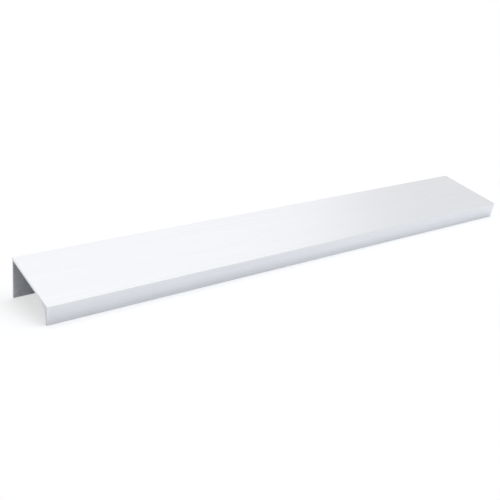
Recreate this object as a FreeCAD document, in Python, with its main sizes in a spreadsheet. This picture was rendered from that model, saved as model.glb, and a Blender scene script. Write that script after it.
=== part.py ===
import FreeCAD, Part
import os
import Sketcher

# Handleless finger pull: one length of extruded aluminium that hooks over the edge of a door or drawer
# front. Its section has a flat top plate, a tall flange that is screwed to the back of the door, and a short
# front lip with a hollow curve behind it for the fingertips. Sizes are millimetres.
# The section is drawn with its plate level, its front top corner at the origin, +Y to the back and +Z up.
# The loose piece rests on the front edge of its lip and the inner edge of its flange, so the body is then
# tipped forward onto those two edges, with the floor at Z = 0 and the origin under the middle of the piece.

NODE = "finger_pull_profile"

# Driving dimensions: alias, value, meaning
DRIVING_SIZES = [
    ("pull_length", 300.0, "length of the extrusion, along X"),
    ("section_depth", 43.0, "front of the lip to back of the flange"),
    ("flange_height", 22.3, "top of the plate to lower edge of the flange"),
    ("lip_height", 9.7, "top of the plate to lower edge of the lip"),
    ("plate_wall", 1.2, "thickness of the top plate"),
    ("flange_wall", 1.2, "thickness of the flange"),
    ("lip_wall", 1.2, "thickness of the lip at its tip"),
    ("lip_straight", 1.3, "straight stretch inside the lip, below the finger curve"),
    ("seat_radius", 0.4, "inside corner between the plate and the flange"),
    ("edge_radius", 0.3, "rounding of the six long outer edges"),
    ("end_chamfer", 0.15, "deburred edge around both sawn ends"),
    ("screw_count", 3, "holes along the flange"),
    ("screw_end_margin", 22.0, "end of the piece to the first hole's centre"),
    ("screw_rise", 9.5, "lower edge of the flange to the holes' centres"),
    ("screw_hole_diameter", 3.6, "clearance hole for a 3 mm screw"),
    ("screw_land", 0.2, "straight wall left in a hole below its countersink"),
]
COUNTERSINK_ANGLE = 90.0
TOLERANCE = 1e-6

# Numbers that name the points of a line or circle in a sketch, and the sketch's own origin
START, END, CENTRE = 1, 2, 3
SKETCH_ORIGIN = (-1, 1)

doc = FreeCAD.newDocument("finger_pull")
sheet = doc.addObject("Spreadsheet::Sheet", "Sizes")
for row, (alias, value, meaning) in enumerate(DRIVING_SIZES, start=1):
    sheet.set(f"A{row}", meaning)
    sheet.set(f"B{row}", str(value))
    sheet.setAlias(f"B{row}", alias)
doc.recompute()


def size(alias):
    """A driving dimension, as a number."""
    return float(sheet.get(alias))


def origin_feature(body, role):
    """The body's own origin plane or axis with this role."""
    return next(feature for feature in body.Origin.OriginFeatures if feature.Role == role)


def new_sketch(body, name, plane_role):
    """An empty sketch on one of the body's origin planes."""
    sketch = body.newObject("Sketcher::SketchObject", name)
    sketch.AttachmentSupport = [(origin_feature(body, plane_role), "")]
    sketch.MapMode = "FlatFace"
    return sketch


def bind_distance(sketch, direction, start, end, expression):
    """Ties the distance from one sketch point to another, along DistanceX or DistanceY, to the sheet."""
    drawn = sketch.getPoint(*end) - sketch.getPoint(*start)
    value = drawn.x if direction == "DistanceX" else drawn.y
    index = sketch.addConstraint(Sketcher.Constraint(direction, *start, *end, value))
    sketch.setExpression(f"Constraints[{index}]", expression)


def draw_section(sketch):
    """Draws the section with sharp corners: eight straight sides, starting at the front top corner."""
    depth, flange, lip = size("section_depth"), size("flange_height"), size("lip_height")
    plate_wall, flange_wall, lip_wall = size("plate_wall"), size("flange_wall"), size("lip_wall")
    corners = [
        (0, 0),
        (depth, 0),
        (depth, -flange),
        (depth - flange_wall, -flange),
        (depth - flange_wall, -plate_wall),
        (lip_wall, -plate_wall),
        (lip_wall, -lip),
        (0, -lip),
    ]
    points = [FreeCAD.Vector(y, z, 0) for y, z in corners]
    top, back, flange_tip, flange_inside, underside, lip_inside, lip_tip, front = range(len(points))
    for side, start in enumerate(points):
        end = points[(side + 1) % len(points)]
        sketch.addGeometry(Part.LineSegment(start, end))
    for side in range(len(points)):
        following = (side + 1) % len(points)
        sketch.addConstraint(Sketcher.Constraint("Coincident", side, END, following, START))
    for side in (top, flange_tip, underside, lip_tip):
        sketch.addConstraint(Sketcher.Constraint("Horizontal", side))
    for side in (back, flange_inside, lip_inside, front):
        sketch.addConstraint(Sketcher.Constraint("Vertical", side))
    sketch.addConstraint(Sketcher.Constraint("Coincident", top, START, *SKETCH_ORIGIN))
    bind_distance(sketch, "DistanceX", (top, START), (top, END), "Sizes.section_depth")
    bind_distance(sketch, "DistanceY", (back, END), (back, START), "Sizes.flange_height")
    bind_distance(sketch, "DistanceX", (flange_tip, END), (flange_tip, START), "Sizes.flange_wall")
    bind_distance(sketch, "DistanceX", (lip_tip, END), (lip_tip, START), "Sizes.lip_wall")
    bind_distance(sketch, "DistanceY", (front, START), (front, END), "Sizes.lip_height")
    bind_distance(sketch, "DistanceY", (underside, END), (top, START), "Sizes.plate_wall")


def long_edge(shape, y, z):
    """Name of the edge that runs the whole length through the section point (y, z)."""
    corner = FreeCAD.Vector(0, y, z)
    for number, edge in enumerate(shape.Edges, start=1):
        first, last = edge.firstVertex().Point, edge.lastVertex().Point
        middle = (first + last) / 2
        if abs(first.x - last.x) > size("pull_length") / 2 and middle.isEqual(corner, TOLERANCE):
            return f"Edge{number}"
    raise ValueError(f"no long edge at y {y}, z {z}")


def round_edges(body, name, section_points, radius):
    """Rounds the long edges through the given section points."""
    base = body.Tip
    fillet = body.newObject("PartDesign::Fillet", name)
    fillet.Base = (base, [long_edge(base.Shape, y, z) for y, z in section_points])
    fillet.setExpression("Radius", radius)
    doc.recompute()


def extrude_section(body):
    """The straight extrusion with its finger curve, seat corner and rounded edges."""
    section = new_sketch(body, "section", "YZ_Plane")
    draw_section(section)
    extrusion = body.newObject("PartDesign::Pad", "extrusion")
    extrusion.Profile = section
    extrusion.SideType = "Symmetric"
    extrusion.setExpression("Length", "Sizes.pull_length")
    doc.recompute()

    depth, flange, lip = size("section_depth"), size("flange_height"), size("lip_height")
    underside, flange_inside, lip_inside = -size("plate_wall"), depth - size("flange_wall"), size("lip_wall")
    finger_radius = "Sizes.lip_height - Sizes.plate_wall - Sizes.lip_straight"
    round_edges(body, "finger_curve", [(lip_inside, underside)], finger_radius)
    round_edges(body, "seat_corner", [(flange_inside, underside)], "Sizes.seat_radius")
    outer_corners = [
        (0, 0),
        (depth, 0),
        (depth, -flange),
        (flange_inside, -flange),
        (lip_inside, -lip),
        (0, -lip),
    ]
    round_edges(body, "rounded_edges", outer_corners, "Sizes.edge_radius")


def deburr_ends(body):
    """A fine chamfer around the outline of both sawn ends."""
    base = body.Tip
    half_length = size("pull_length") / 2
    outlines = []
    for number, edge in enumerate(base.Shape.Edges, start=1):
        box = edge.BoundBox
        if abs(abs(box.XMin) - half_length) < TOLERANCE and box.XLength < TOLERANCE:
            outlines.append(f"Edge{number}")
    chamfer = body.newObject("PartDesign::Chamfer", "deburred_ends")
    chamfer.Base = (base, outlines)
    chamfer.setExpression("Size", "Sizes.end_chamfer")
    doc.recompute()


def drill_flange(body):
    """Countersunk screw holes along the flange, entered from its back."""
    centres = new_sketch(body, "first_screw", "XZ_Plane")
    centres.setExpression("AttachmentOffset.Base.z", "-Sizes.section_depth")
    along = size("pull_length") / 2 - size("screw_end_margin")
    down = size("flange_height") - size("screw_rise")
    first_centre = FreeCAD.Vector(-along, -down, 0)
    sketch_normal = FreeCAD.Vector(0, 0, 1)
    circle = centres.addGeometry(Part.Circle(first_centre, sketch_normal, size("screw_hole_diameter") / 2))
    bind_distance(centres, "DistanceX", (circle, CENTRE), SKETCH_ORIGIN,
                  "Sizes.pull_length / 2 - Sizes.screw_end_margin")
    bind_distance(centres, "DistanceY", (circle, CENTRE), SKETCH_ORIGIN,
                  "Sizes.flange_height - Sizes.screw_rise")
    diameter = centres.addConstraint(Sketcher.Constraint("Diameter", circle, size("screw_hole_diameter")))
    centres.setExpression(f"Constraints[{diameter}]", "Sizes.screw_hole_diameter")
    doc.recompute()

    hole = body.newObject("PartDesign::Hole", "screw_hole")
    hole.Profile = centres
    hole.Reversed = True
    hole.setExpression("Diameter", "Sizes.screw_hole_diameter")
    hole.DepthType = "Dimension"
    hole.setExpression("Depth", "2 * Sizes.flange_wall")
    hole.DrillPoint = "Flat"
    hole.HoleCutType = "Countersink"
    hole.HoleCutCustomValues = True
    hole.HoleCutCountersinkAngle = COUNTERSINK_ANGLE
    hole.setExpression(
        "HoleCutDiameter",
        "Sizes.screw_hole_diameter + 2 * (Sizes.flange_wall - Sizes.screw_land)"
        f" * tan({COUNTERSINK_ANGLE / 2} deg)",
    )
    doc.recompute()

    row = body.newObject("PartDesign::LinearPattern", "screw_row")
    row.Originals = [hole]
    row.Direction = (origin_feature(body, "X_Axis"), [""])
    row.setExpression("Length", "Sizes.pull_length - 2 * Sizes.screw_end_margin")
    row.setExpression("Occurrences", "Sizes.screw_count")
    body.Tip = row
    doc.recompute()


def set_down(body):
    """Tips the body forward until it stands on its lip and its flange, with the floor at zero."""
    tilt = "atan2(Sizes.flange_height - Sizes.lip_height; Sizes.section_depth - Sizes.flange_wall)"
    body.Placement = FreeCAD.Placement(FreeCAD.Vector(), FreeCAD.Rotation(FreeCAD.Vector(1, 0, 0), 1.0))
    body.setExpression("Placement.Rotation.Angle", tilt)
    body.setExpression(
        "Placement.Base.y",
        f"-(Sizes.section_depth * cos({tilt}) + Sizes.flange_height * sin({tilt})) / 2",
    )
    body.setExpression(
        "Placement.Base.z",
        f"Sizes.lip_height * cos({tilt}) - Sizes.edge_radius * (sin({tilt}) + cos({tilt}) - 1)",
    )
    doc.recompute()


profile = doc.addObject("PartDesign::Body", NODE)
profile.Label = NODE
extrude_section(profile)
deburr_ends(profile)
undrilled_volume = profile.Shape.Volume
drill_flange(profile)
set_down(profile)

for item in doc.Objects:
    if "Invalid" in item.State or "Error" in item.State:
        raise RuntimeError(f"{item.Label} failed: {item.State}")
if profile.Shape.isNull() or not profile.Shape.isValid() or len(profile.Shape.Solids) != 1:
    raise RuntimeError("the profile isn't one valid solid")
if profile.Shape.Volume >= undrilled_volume:
    raise RuntimeError("the screw holes cut nothing")

os.makedirs("parts", exist_ok=True)
profile.Shape.exportStep(f"parts/{NODE}.step")
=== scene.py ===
import math

import bmesh
import bpy
from bpy.props import FloatProperty, FloatVectorProperty, IntProperty, PointerProperty
from mathutils import Matrix, Vector


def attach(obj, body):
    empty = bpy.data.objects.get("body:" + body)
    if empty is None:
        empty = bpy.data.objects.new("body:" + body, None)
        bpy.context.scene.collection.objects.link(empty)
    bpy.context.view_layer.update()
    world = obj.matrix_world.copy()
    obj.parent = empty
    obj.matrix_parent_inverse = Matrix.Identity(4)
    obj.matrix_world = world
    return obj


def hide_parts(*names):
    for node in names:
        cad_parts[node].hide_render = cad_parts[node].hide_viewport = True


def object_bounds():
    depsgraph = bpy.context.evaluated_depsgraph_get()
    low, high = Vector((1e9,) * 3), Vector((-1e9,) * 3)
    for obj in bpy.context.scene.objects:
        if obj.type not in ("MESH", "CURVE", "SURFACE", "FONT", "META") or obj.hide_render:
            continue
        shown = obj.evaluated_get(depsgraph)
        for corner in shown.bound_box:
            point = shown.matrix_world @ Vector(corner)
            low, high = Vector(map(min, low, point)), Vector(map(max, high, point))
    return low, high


bl_info = {
    "name": "Finger pull profile",
    "version": (1, 0, 0),
    "blender": (4, 5, 0),
    "location": "3D View > Sidebar > Finger Pull",
    "description": "An extruded aluminium finger pull with a satin anodised finish, on a plain studio floor",
    "category": "Object",
}

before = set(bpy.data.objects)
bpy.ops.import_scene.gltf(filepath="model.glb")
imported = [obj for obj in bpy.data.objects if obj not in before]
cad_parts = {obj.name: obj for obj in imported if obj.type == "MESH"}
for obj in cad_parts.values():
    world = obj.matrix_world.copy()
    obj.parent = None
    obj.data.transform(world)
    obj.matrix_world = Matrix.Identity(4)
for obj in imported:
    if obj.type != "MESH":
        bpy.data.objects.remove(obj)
CAD_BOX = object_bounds()
CAD_NODE = "finger_pull_profile"
BODY = "root"
PIECE = "satin_profile"

# Facets of the round stretches: a small edge, the finger curve and a screw hole
EDGE_STEPS = 6
CURVE_STEPS = 32
HOLE_STEPS = 48
SHARP_ANGLE = math.radians(30)

# Half the width of the flat patch around a screw hole, in hole diameters
HOLE_PATCH = 1.5

# Length of a die line in its widths, size of the soft clouds in the finish, and radius of the saw blade
DIE_LINE_STRETCH = 200
CLOUD_WIDTH = 0.035
CLOUD_LENGTH = 0.09
BLADE_RADIUS = 0.15

# Middle value of the noise texture
NOISE_MEAN = 0.5

# Tone runs from the darker metal at 0 to the lighter at 1, each this share away from the plain colour
TONE_SPREAD = 0.1
MID_TONE = 0.5

# How far each mark of the finish moves the tone and the roughness
TONE_OF = {
    "die_lines": 0.8, "grain": 0.5, "saw_marks": 0.25, "drill_rings": 0.3, "clouds": 0.15, "rounded": 0.1}
ROUGHNESS_OF = {"die_lines": 0.05, "grain": 0.04, "clouds": 0.06, "rounded": -0.06, "machined": -0.05}

# Sockets of a Mix node that are its factor, its two colours and its mixed colour
MIX_FACTOR, MIX_FIRST, MIX_SECOND, MIX_RESULT = 0, 6, 7, 2

# Studio: width of the floor, and the distances from the piece between which it fades to white
FLOOR_SIZE = 8.0
FADE_START = 0.02
FADE_END = 0.12

# Studio: distance of the lights, width of the floor's lamps and of the mirrored panels, and nearest view
LIGHT_DISTANCE = 1.2
LAMP_SIZE = 0.8
PANEL_SIZE = 1.2
CLIP_START = 0.01

# Names of the mesh attributes that the finish reads
ROUNDED, SAWN, DRILLED = "rounded_edge", "sawn_end", "drilled_hole"


class ProfileSizes(bpy.types.PropertyGroup):
    """Sizes of the extrusion, in metres"""

    length: FloatProperty(
        name="Length", description="Length of the extrusion", default=0.3, unit="LENGTH")
    depth: FloatProperty(
        name="Depth", description="Front of the lip to back of the flange", default=0.043, unit="LENGTH")
    flange_height: FloatProperty(
        name="Flange height", description="Top of the plate to lower edge of the flange",
        default=0.0223, unit="LENGTH")
    lip_height: FloatProperty(
        name="Lip height", description="Top of the plate to lower edge of the lip",
        default=0.0097, unit="LENGTH")
    plate_wall: FloatProperty(
        name="Plate wall", description="Thickness of the top plate", default=0.0012, unit="LENGTH")
    flange_wall: FloatProperty(
        name="Flange wall", description="Thickness of the flange", default=0.0012, unit="LENGTH")
    lip_wall: FloatProperty(
        name="Lip wall", description="Thickness of the lip at its tip", default=0.0012, unit="LENGTH")
    lip_straight: FloatProperty(
        name="Lip straight", description="Straight stretch inside the lip, below the finger curve",
        default=0.0013, unit="LENGTH")
    seat_radius: FloatProperty(
        name="Seat radius", description="Inside corner between the plate and the flange",
        default=0.0004, unit="LENGTH")
    edge_radius: FloatProperty(
        name="Edge radius", description="Rounding of the long outer edges", default=0.0003, unit="LENGTH")
    end_chamfer: FloatProperty(
        name="End chamfer", description="Deburred edge around both sawn ends", default=0.00015, unit="LENGTH")
    screw_count: IntProperty(
        name="Screw holes", description="Holes along the flange", default=3, min=2)
    screw_end_margin: FloatProperty(
        name="Screw end margin", description="End of the piece to the first hole's centre",
        default=0.022, unit="LENGTH")
    screw_rise: FloatProperty(
        name="Screw rise", description="Lower edge of the flange to the holes' centres",
        default=0.0095, unit="LENGTH")
    screw_hole_diameter: FloatProperty(
        name="Screw hole", description="Diameter of a screw hole", default=0.0036, unit="LENGTH")
    screw_land: FloatProperty(
        name="Screw land", description="Straight wall left in a hole below its countersink",
        default=0.0002, unit="LENGTH")


class SatinFinish(bpy.types.PropertyGroup):
    """Colour and texture of the anodised metal"""

    metal: FloatVectorProperty(
        name="Metal", description="Colour of the anodised aluminium",
        default=(0.71, 0.72, 0.74), size=3, min=0, max=1, subtype="COLOR")
    satin: FloatProperty(
        name="Satin", description="Roughness of the etched and anodised skin", default=0.34, subtype="FACTOR")
    die_line_width: FloatProperty(
        name="Die line width", description="Width of the faint lines that the die leaves along the length",
        default=0.0004, unit="LENGTH")
    die_line_depth: FloatProperty(
        name="Die line depth", description="Depth of those lines", default=0.00001, unit="LENGTH")
    grain_width: FloatProperty(
        name="Etched grain", description="Size of the etched grain", default=0.00025, unit="LENGTH")
    grain_depth: FloatProperty(
        name="Grain depth", description="Depth of the etched grain", default=0.000006, unit="LENGTH")
    saw_pitch: FloatProperty(
        name="Saw pitch", description="Distance between the saw marks on the ends",
        default=0.0004, unit="LENGTH")
    saw_depth: FloatProperty(
        name="Saw depth", description="Depth of the saw marks", default=0.000012, unit="LENGTH")
    drill_pitch: FloatProperty(
        name="Drill pitch", description="Distance between the rings that the drill leaves in a screw hole",
        default=0.0002, unit="LENGTH")


class StudioSettings(bpy.types.PropertyGroup):
    """Floor, light and camera"""

    floor: FloatVectorProperty(
        name="Floor", description="Colour of the floor", default=(0.925, 0.938, 0.962), size=3, min=0, max=1,
        subtype="COLOR")
    shadow: FloatProperty(
        name="Shadow", description="How much of the shadow on the floor the camera sees", default=0.4,
        min=0, max=1, subtype="FACTOR")
    sky: FloatProperty(name="Sky", description="Strength of the even light from all around", default=0.54)
    top_lamp: FloatProperty(
        name="Top lamp", description="Power of the floor's lamp overhead", default=4.6)
    front_lamp: FloatProperty(
        name="Front lamp", description="Power of the floor's lamp in front, to the right", default=4.9)
    back_panel: FloatProperty(
        name="Back panel", description="Power of the panel behind, which the metal mirrors", default=1.5)
    front_panel: FloatProperty(
        name="Front panel", description="Power of the panel in front, which the metal mirrors", default=0.8)
    azimuth: FloatProperty(
        name="Azimuth", description="Camera's turn about the object, from the front to the right",
        default=math.radians(-35.249), subtype="ANGLE")
    elevation: FloatProperty(
        name="Elevation", description="Camera's height above the floor, as an angle",
        default=math.radians(16.62), subtype="ANGLE")
    roll: FloatProperty(
        name="Roll", description="Camera's turn about its own axis",
        default=math.radians(-1.158), subtype="ANGLE")
    distance: FloatProperty(
        name="Distance", description="Camera to the point that it looks at", default=0.4079, unit="LENGTH")
    aim: FloatVectorProperty(
        name="Aim", description="Point that the camera looks at", default=(-0.0203, 0.01102, 0.0019), size=3,
        subtype="TRANSLATION")
    lens: FloatProperty(name="Lens", description="Focal length in millimetres", default=52.537)


class FingerPullSettings(bpy.types.PropertyGroup):
    """All that a user would change"""

    sizes: PointerProperty(type=ProfileSizes)
    finish: PointerProperty(type=SatinFinish)
    studio: PointerProperty(type=StudioSettings)


class Shade:
    """A socket of a node tree. Arithmetic on it adds Math nodes, and node() adds any other node."""

    def __init__(self, tree, socket=None):
        self.tree = tree
        self.socket = socket

    def node(self, kind, settings=None, inputs=None, output=0):
        """Adds a node, sets it up, fills or links its inputs and returns one of its outputs."""
        made = self.tree.nodes.new(kind)
        for name, value in (settings or {}).items():
            setattr(made, name, value)
        for name, value in (inputs or {}).items():
            if isinstance(value, Shade):
                self.tree.links.new(value.socket, made.inputs[name])
            else:
                made.inputs[name].default_value = value
        return Shade(self.tree, made.outputs[output] if made.outputs else None)

    def maths(self, operation, *values):
        """A Math node on the given values."""
        return self.node("ShaderNodeMath", {"operation": operation}, dict(enumerate(values)))

    def vector(self, operation, *values, output="Vector"):
        """A Vector Math node on the given values."""
        return self.node("ShaderNodeVectorMath", {"operation": operation}, dict(enumerate(values)), output)

    def __add__(self, other):
        return self.maths("ADD", self, other)

    def __radd__(self, other):
        return self.maths("ADD", other, self)

    def __sub__(self, other):
        return self.maths("SUBTRACT", self, other)

    def __rsub__(self, other):
        return self.maths("SUBTRACT", other, self)

    def __mul__(self, other):
        return self.maths("MULTIPLY", self, other)

    def __rmul__(self, other):
        return self.maths("MULTIPLY", other, self)


def new_material(name):
    """An empty node material and the shade that builds it."""
    material = bpy.data.materials.new(name)
    material.use_nodes = True
    material.node_tree.nodes.clear()
    return material, Shade(material.node_tree)


def satin_aluminium(finish, section):
    """Etched and anodised aluminium: die lines along X, grain, brighter edges, sawn ends, drilled holes."""
    material, shade = new_material("satin_anodised_aluminium")
    place = shade.node("ShaderNodeTexCoord", output="Object")

    def noise(size, along_size, detail):
        """Noise about zero, with one size across the section and another along the length."""
        stretched = shade.vector("MULTIPLY", place, (1 / along_size, 1 / size, 1 / size))
        texture = {"Vector": stretched, "Scale": 1.0, "Detail": detail}
        return shade.node("ShaderNodeTexNoise", inputs=texture) - NOISE_MEAN

    def mask(name):
        """A mesh attribute from 0 to 1."""
        return shade.node("ShaderNodeAttribute", {"attribute_name": name}, output="Fac")

    die_lines = noise(finish.die_line_width, DIE_LINE_STRETCH * finish.die_line_width, detail=2.0)
    grain = noise(finish.grain_width, finish.grain_width, detail=2.0)
    clouds = noise(CLOUD_WIDTH, CLOUD_LENGTH, detail=1.0)
    rounded, sawn, drilled = mask(ROUNDED), mask(SAWN), mask(DRILLED)
    machined = shade.maths("MAXIMUM", sawn, drilled)
    skin = 1 - machined

    # The blade's centre lies in front of the section and below it, so its marks are arcs across the end
    blade = section.place(0, -BLADE_RADIUS, -BLADE_RADIUS / 2)
    across = shade.vector("MULTIPLY", place, (0, 1, 1))
    reach = shade.vector("DISTANCE", across, blade, output="Value")
    saw_marks = shade.maths("SINE", reach * (2 * math.pi / finish.saw_pitch)) * sawn

    drill_axis = section.place(0, 1, 0) - section.place(0, 0, 0)
    drill_depth = shade.vector("DOT_PRODUCT", place, drill_axis, output="Value")
    drill_rings = shade.maths("SINE", drill_depth * (2 * math.pi / finish.drill_pitch)) * drilled

    height = (die_lines * finish.die_line_depth + grain * finish.grain_depth) * skin
    height = height + saw_marks * (finish.saw_depth / 2)
    relief = {"Strength": 1.0, "Distance": 1.0, "Height": height}
    bump = shade.node("ShaderNodeBump", inputs=relief, output="Normal")

    roughness = finish.satin + die_lines * ROUGHNESS_OF["die_lines"] + grain * ROUGHNESS_OF["grain"]
    roughness = roughness + clouds * ROUGHNESS_OF["clouds"] + rounded * ROUGHNESS_OF["rounded"]
    roughness = roughness + machined * ROUGHNESS_OF["machined"]

    tone = (die_lines * TONE_OF["die_lines"] + grain * TONE_OF["grain"]) * skin
    tone = tone + saw_marks * TONE_OF["saw_marks"] + drill_rings * TONE_OF["drill_rings"]
    tone = tone + clouds * TONE_OF["clouds"] + rounded * TONE_OF["rounded"] + MID_TONE
    darker = [channel * (1 - TONE_SPREAD) for channel in finish.metal] + [1]
    lighter = [min(1, channel * (1 + TONE_SPREAD)) for channel in finish.metal] + [1]
    mix = {MIX_FACTOR: tone, MIX_FIRST: darker, MIX_SECOND: lighter}
    colour = shade.node("ShaderNodeMix", {"data_type": "RGBA"}, mix, output=MIX_RESULT)

    metal = shade.node("ShaderNodeBsdfPrincipled", inputs={
        "Base Color": colour, "Metallic": 1.0, "Roughness": roughness, "Normal": bump})
    shade.node("ShaderNodeOutputMaterial", inputs={"Surface": metal})
    return material


class Section:
    """The profile's section, drawn level and set down on the floor as the loose piece rests."""

    def __init__(self, sizes):
        depth, flange, lip = sizes.depth, sizes.flange_height, sizes.lip_height
        self.flange_inside = depth - sizes.flange_wall
        finger_radius = lip - sizes.plate_wall - sizes.lip_straight
        edge = (sizes.edge_radius, EDGE_STEPS)
        # Corners in order from the front top one: back, up, radius, facets
        self.corners = [
            (0, 0, *edge),
            (depth, 0, *edge),
            (depth, -flange, *edge),
            (self.flange_inside, -flange, *edge),
            (self.flange_inside, -sizes.plate_wall, sizes.seat_radius, EDGE_STEPS),
            (sizes.lip_wall, -sizes.plate_wall, finger_radius, CURVE_STEPS),
            (sizes.lip_wall, -lip, *edge),
            (0, -lip, *edge),
        ]
        # Sides that the screws pass through, by the corner before each
        self.pierced_corners = (1, 3)
        tilt = math.atan2(flange - lip, self.flange_inside)
        self.rest = Matrix.Translation((
            0,
            -(depth * math.cos(tilt) + flange * math.sin(tilt)) / 2,
            lip * math.cos(tilt) - sizes.edge_radius * (math.sin(tilt) + math.cos(tilt) - 1),
        )) @ Matrix.Rotation(tilt, 4, "X")

    def place(self, along, back, up):
        """A point of the level section, at rest on the floor."""
        return self.rest @ Vector((along, back, up))

    def outline(self, inset=0.0):
        """Points round the section as (back, up), how rounded each is, and the sides that screws pierce."""
        points, rounded, pierced = [], [], []
        corners = [Vector(corner[:2]) for corner in self.corners]
        for index, (corner, (_, _, radius, steps)) in enumerate(zip(corners, self.corners)):
            arriving = (corner - corners[index - 1]).normalized()
            leaving = (corners[(index + 1) % len(corners)] - corner).normalized()
            # The outline runs clockwise, so a right turn is an outer corner
            turn = -1 if arriving.cross(leaving) < 0 else 1
            corner = corner + inset * turn * (arriving - leaving)
            radius = radius + inset * turn
            centre = corner + radius * (leaving - arriving)
            for step in range(steps + 1):
                angle = math.pi / 2 * step / steps
                points.append(centre + radius * (arriving * math.sin(angle) - leaving * math.cos(angle)))
                rounded.append(math.sin(2 * angle) if turn < 0 else 0.0)
            if index in self.pierced_corners:
                pierced.append(len(points) - 1)
        return points, rounded, pierced


class ProfileMesh:
    """Builds the extrusion ring by ring along X, with its screw holes left open and then lined."""

    def __init__(self, sizes):
        self.sizes = sizes
        self.section = Section(sizes)
        self.mesh = bmesh.new()
        self.rounded = self.mesh.verts.layers.float.new(ROUNDED)
        self.sawn = self.mesh.faces.layers.float.new(SAWN)
        self.drilled = self.mesh.faces.layers.float.new(DRILLED)

    def ring(self, along, inset=0.0):
        """One outline of the section across the length."""
        points, rounded, _ = self.section.outline(inset)
        ring = []
        for (back, up), edge in zip(points, rounded):
            vertex = self.mesh.verts.new(self.section.place(along, back, up))
            vertex[self.rounded] = edge
            ring.append(vertex)
        return ring

    def join(self, first, second, skip=()):
        """Faces between two rings of as many points, apart from the skipped sides."""
        count = len(first)
        made = []
        for side in range(count):
            if side not in skip:
                following = (side + 1) % count
                corners = (first[side], first[following], second[following], second[side])
                made.append(self.mesh.faces.new(corners))
        return made

    def circle(self, along, back, up, radius):
        """A circle in the flange's plane."""
        made = []
        for step in range(HOLE_STEPS):
            angle = 2 * math.pi * step / HOLE_STEPS
            place = self.section.place(along + radius * math.cos(angle), back, up + radius * math.sin(angle))
            made.append(self.mesh.verts.new(place))
        return made

    def pierce(self, window, circle):
        """Fills a four-cornered window around a circle. The corners run as the circle's quarters do."""
        quarter = HOLE_STEPS // 4
        for index, corner in enumerate(window):
            start = index * quarter
            for step in range(start, start + quarter):
                self.mesh.faces.new((corner, circle[step], circle[(step + 1) % HOLE_STEPS]))
            end = circle[(start + quarter) % HOLE_STEPS]
            self.mesh.faces.new((corner, end, window[(index + 1) % len(window)]))

    def drill(self, along, before, after, pierced):
        """A countersunk hole between two rings, through the flange's back and inner sides."""
        sizes = self.sizes
        up = sizes.screw_rise - sizes.flange_height
        hole_radius = sizes.screw_hole_diameter / 2
        sink_depth = sizes.flange_wall - sizes.screw_land
        back_side, inner_side = pierced
        mouth = self.circle(along, sizes.depth, up, hole_radius + sink_depth)
        throat = self.circle(along, sizes.depth - sink_depth, up, hole_radius)
        exit_rim = self.circle(along, self.section.flange_inside, up, hole_radius)
        # Corners of the windows, with +X to the right: top right, top left, lower left, lower right
        back_window = (after[back_side], before[back_side], before[back_side + 1], after[back_side + 1])
        inner_window = (after[inner_side + 1], before[inner_side + 1], before[inner_side], after[inner_side])
        self.pierce(back_window, mouth)
        self.pierce(inner_window, exit_rim)
        for face in self.join(mouth, throat) + self.join(throat, exit_rim):
            face[self.drilled] = 1.0

    def build(self):
        """The whole closed mesh, in a new data block."""
        sizes = self.sizes
        half = sizes.length / 2
        pierced = self.section.outline()[2]
        first_screw = sizes.screw_end_margin - half
        pitch = (sizes.length - 2 * sizes.screw_end_margin) / (sizes.screw_count - 1)
        patch = HOLE_PATCH * sizes.screw_hole_diameter

        left_end = self.ring(-half, sizes.end_chamfer)
        last = self.ring(sizes.end_chamfer - half)
        ends = self.join(left_end, last)
        for screw in range(sizes.screw_count):
            along = first_screw + screw * pitch
            before, after = self.ring(along - patch), self.ring(along + patch)
            self.join(last, before)
            self.join(before, after, skip=pierced)
            self.drill(along, before, after, pierced)
            last = after
        right_start = self.ring(half - sizes.end_chamfer)
        self.join(last, right_start)
        right_end = self.ring(half, sizes.end_chamfer)
        ends += self.join(right_start, right_end)
        ends += [self.mesh.faces.new(left_end), self.mesh.faces.new(right_end)]
        for face in ends:
            face[self.sawn] = 1.0
        bmesh.ops.recalc_face_normals(self.mesh, faces=self.mesh.faces)
        for face in self.mesh.faces:
            face.smooth = True
        for edge in self.mesh.edges:
            edge.smooth = edge.calc_face_angle() < SHARP_ANGLE
        data = bpy.data.meshes.new(PIECE)
        self.mesh.to_mesh(data)
        self.mesh.free()
        return data


class FINGERPULL_OT_profile(bpy.types.Operator):
    """Builds the extruded profile with its satin anodised finish"""

    bl_idname = "finger_pull.profile"
    bl_label = "Extruded Profile"

    def execute(self, context):
        settings = context.scene.finger_pull
        profile = ProfileMesh(settings.sizes)
        piece = bpy.data.objects.new(PIECE, profile.build())
        context.scene.collection.objects.link(piece)
        piece.data.materials.append(satin_aluminium(settings.finish, profile.section))
        flat_sides = piece.modifiers.new("flat_sides", "WEIGHTED_NORMAL")
        flat_sides.keep_sharp = True
        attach(piece, BODY)
        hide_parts(CAD_NODE)
        return {"FINISHED"}


def light_rays(shade):
    """Two marks of a ray: 1 if it comes from the camera, and 1 if from there, from metal or through glass."""
    light_path = shade.tree.nodes.new("ShaderNodeLightPath")
    from_camera, from_metal, through_glass = (
        Shade(shade.tree, light_path.outputs[name])
        for name in ("Is Camera Ray", "Is Glossy Ray", "Is Transmission Ray"))
    return from_camera, shade.maths("MINIMUM", from_camera + from_metal + through_glass, 1.0)


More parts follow.
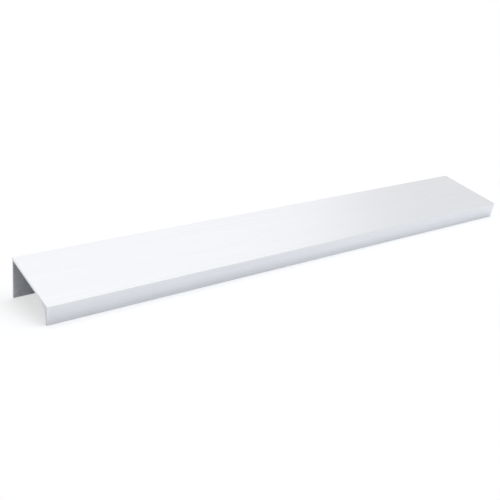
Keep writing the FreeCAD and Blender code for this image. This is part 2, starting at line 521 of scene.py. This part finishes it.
def studio_floor(colour, shadow, piece_box):
    """A wide pale floor that takes the piece's shadow and fades to a white backdrop further off."""
    material, shade = new_material("studio_floor")

    # The piece lies evenly about the floor's middle, so one corner of its box serves for all four
    place = shade.vector("ABSOLUTE", shade.node("ShaderNodeTexCoord", output="Object"))
    beyond = shade.vector("MAXIMUM", shade.vector("SUBTRACT", place, piece_box[1]), (0, 0, 0))
    distance = shade.vector("LENGTH", beyond, output="Value")
    fade = shade.node("ShaderNodeMapRange", {"interpolation_type": "SMOOTHSTEP"},
                      {"Value": distance, "From Min": FADE_START, "From Max": FADE_END})
    from_camera, seen = light_rays(shade)
    whiteness = shade.maths("MAXIMUM", fade * seen, from_camera * (1 - shadow))
    matt = shade.node("ShaderNodeBsdfDiffuse", inputs={"Color": (*colour, 1)})
    white = shade.node("ShaderNodeEmission", inputs={"Color": (1, 1, 1, 1), "Strength": 1.0})
    surface = shade.node("ShaderNodeMixShader", inputs={0: whiteness, 1: matt, 2: white})
    shade.node("ShaderNodeOutputMaterial", inputs={"Surface": surface})

    mesh = bmesh.new()
    bmesh.ops.create_grid(mesh, x_segments=1, y_segments=1, size=FLOOR_SIZE / 2)
    data = bpy.data.meshes.new("studio_floor")
    mesh.to_mesh(data)
    mesh.free()
    data.materials.append(material)
    return bpy.data.objects.new("studio_floor", data)


def studio_sky(world, strength):
    """Even light from all around, which the camera and the metal see as plain white."""
    world.use_nodes = True
    world.node_tree.nodes.clear()
    shade = Shade(world.node_tree)
    level = strength + light_rays(shade)[1] * (1 - strength)
    sky = shade.node("ShaderNodeBackground", inputs={"Color": (1, 1, 1, 1), "Strength": level})
    shade.node("ShaderNodeOutputWorld", inputs={"Surface": sky})


def towards(azimuth, elevation):
    """Direction from the object. The azimuth turns from the front to the right."""
    return Vector((
        math.sin(azimuth) * math.cos(elevation),
        -math.cos(azimuth) * math.cos(elevation),
        math.sin(elevation),
    ))


def soft_light(name, power, azimuth, elevation, size, mirrored):
    """A wide soft light that faces the object, its angles in degrees. Metal shows it only if mirrored."""
    data = bpy.data.lights.new(name, "AREA")
    data.size = size
    data.energy = power
    light = bpy.data.objects.new(name, data)
    direction = towards(math.radians(azimuth), math.radians(elevation))
    light.location = LIGHT_DISTANCE * direction
    light.rotation_euler = (-direction).to_track_quat("-Z", "Y").to_euler()
    light.visible_camera = False
    light.visible_glossy = mirrored
    return light


def camera(studio):
    """A camera that looks at the aim point from the set angle."""
    data = bpy.data.cameras.new("camera")
    data.lens = studio.lens
    data.clip_start = CLIP_START
    view = bpy.data.objects.new("camera", data)
    direction = towards(studio.azimuth, studio.elevation)
    facing = (-direction).to_track_quat("-Z", "Y").to_matrix().to_4x4()
    place = Matrix.Translation(Vector(studio.aim) + studio.distance * direction)
    view.matrix_world = place @ facing @ Matrix.Rotation(studio.roll, 4, "Z")
    return view


class FINGERPULL_OT_stage(bpy.types.Operator):
    """Sets up the floor, the light and the camera"""

    bl_idname = "finger_pull.stage"
    bl_label = "Studio"

    def execute(self, context):
        scene = context.scene
        studio = scene.finger_pull.studio
        floor = studio_floor(studio.floor, studio.shadow, CAD_BOX)
        view = camera(studio)
        lights = [
            soft_light("top_lamp", studio.top_lamp, 0, 90, LAMP_SIZE, mirrored=False),
            soft_light("front_lamp", studio.front_lamp, 30, 45, LAMP_SIZE, mirrored=False),
            soft_light("back_panel", studio.back_panel, 155, 60, PANEL_SIZE, mirrored=True),
            soft_light("front_panel", studio.front_panel, -25, 66, PANEL_SIZE, mirrored=True),
        ]
        for item in (floor, view, *lights):
            scene.collection.objects.link(item)
        scene.world = scene.world or bpy.data.worlds.new("studio")
        studio_sky(scene.world, studio.sky)
        scene.camera = view
        scene.view_settings.view_transform = "Standard"
        return {"FINISHED"}


class FINGERPULL_PT_sidebar(bpy.types.Panel):
    """Lists the piece, its sizes and its finish, and the studio"""

    bl_label = "Finger Pull"
    bl_space_type = "VIEW_3D"
    bl_region_type = "UI"
    bl_category = "Finger Pull"

    def draw(self, context):
        settings = context.scene.finger_pull
        for group, operator in (
            (settings.sizes, None),
            (settings.finish, FINGERPULL_OT_profile),
            (settings.studio, FINGERPULL_OT_stage),
        ):
            column = self.layout.column()
            for name in group.__annotations__:
                column.prop(group, name)
            if operator:
                column.operator(operator.bl_idname)


CLASSES = (
    ProfileSizes,
    SatinFinish,
    StudioSettings,
    FingerPullSettings,
    FINGERPULL_OT_profile,
    FINGERPULL_OT_stage,
    FINGERPULL_PT_sidebar,
)


def register():
    """Registers the classes and adds the settings to the scene."""
    for item in CLASSES:
        bpy.utils.register_class(item)
    bpy.types.Scene.finger_pull = PointerProperty(type=FingerPullSettings)


def unregister():
    """Takes the settings and the classes away again."""
    del bpy.types.Scene.finger_pull
    for item in reversed(CLASSES):
        bpy.utils.unregister_class(item)


def main():
    """Builds the piece and the studio."""
    register()
    bpy.ops.finger_pull.profile()
    bpy.ops.finger_pull.stage()


if __name__ == "__main__":
    main()
